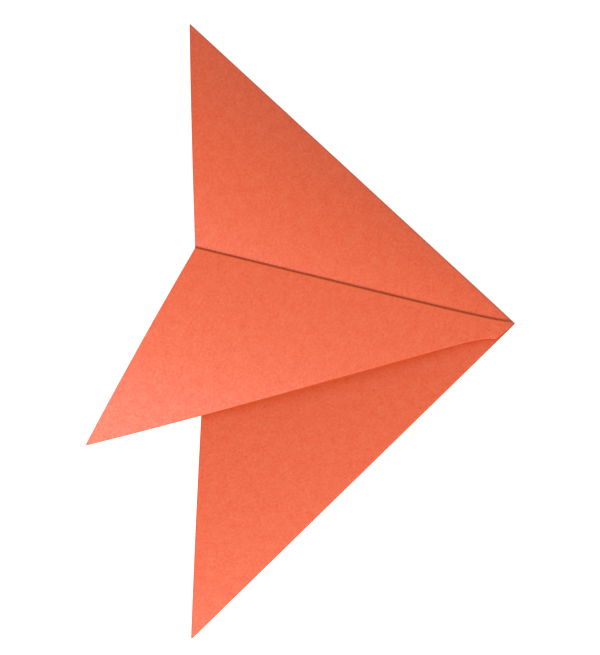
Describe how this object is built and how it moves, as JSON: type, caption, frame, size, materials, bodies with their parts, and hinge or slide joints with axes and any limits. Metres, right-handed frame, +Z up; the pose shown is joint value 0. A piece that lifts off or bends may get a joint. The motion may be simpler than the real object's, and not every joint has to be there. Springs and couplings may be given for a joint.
{
  "type": "origami fish",
  "caption": "Flat paper fish folded from a square sheet, with upper and lower fins and a folded-over tail meeting at the nose",
  "frame": {"origin": "on the table under the middle of the fish's box", "axes": "+X from the open edge to the nose, +Y from the lower fin to the upper fin, +Z up from the table"},
  "size_m": [0.1016, 0.1468, 0.0072],
  "materials": {
    "paper": "matte"
  },
  "bodies": {
    "root": {"folded_sheet": "paper"}
  },
  "joints": []
}
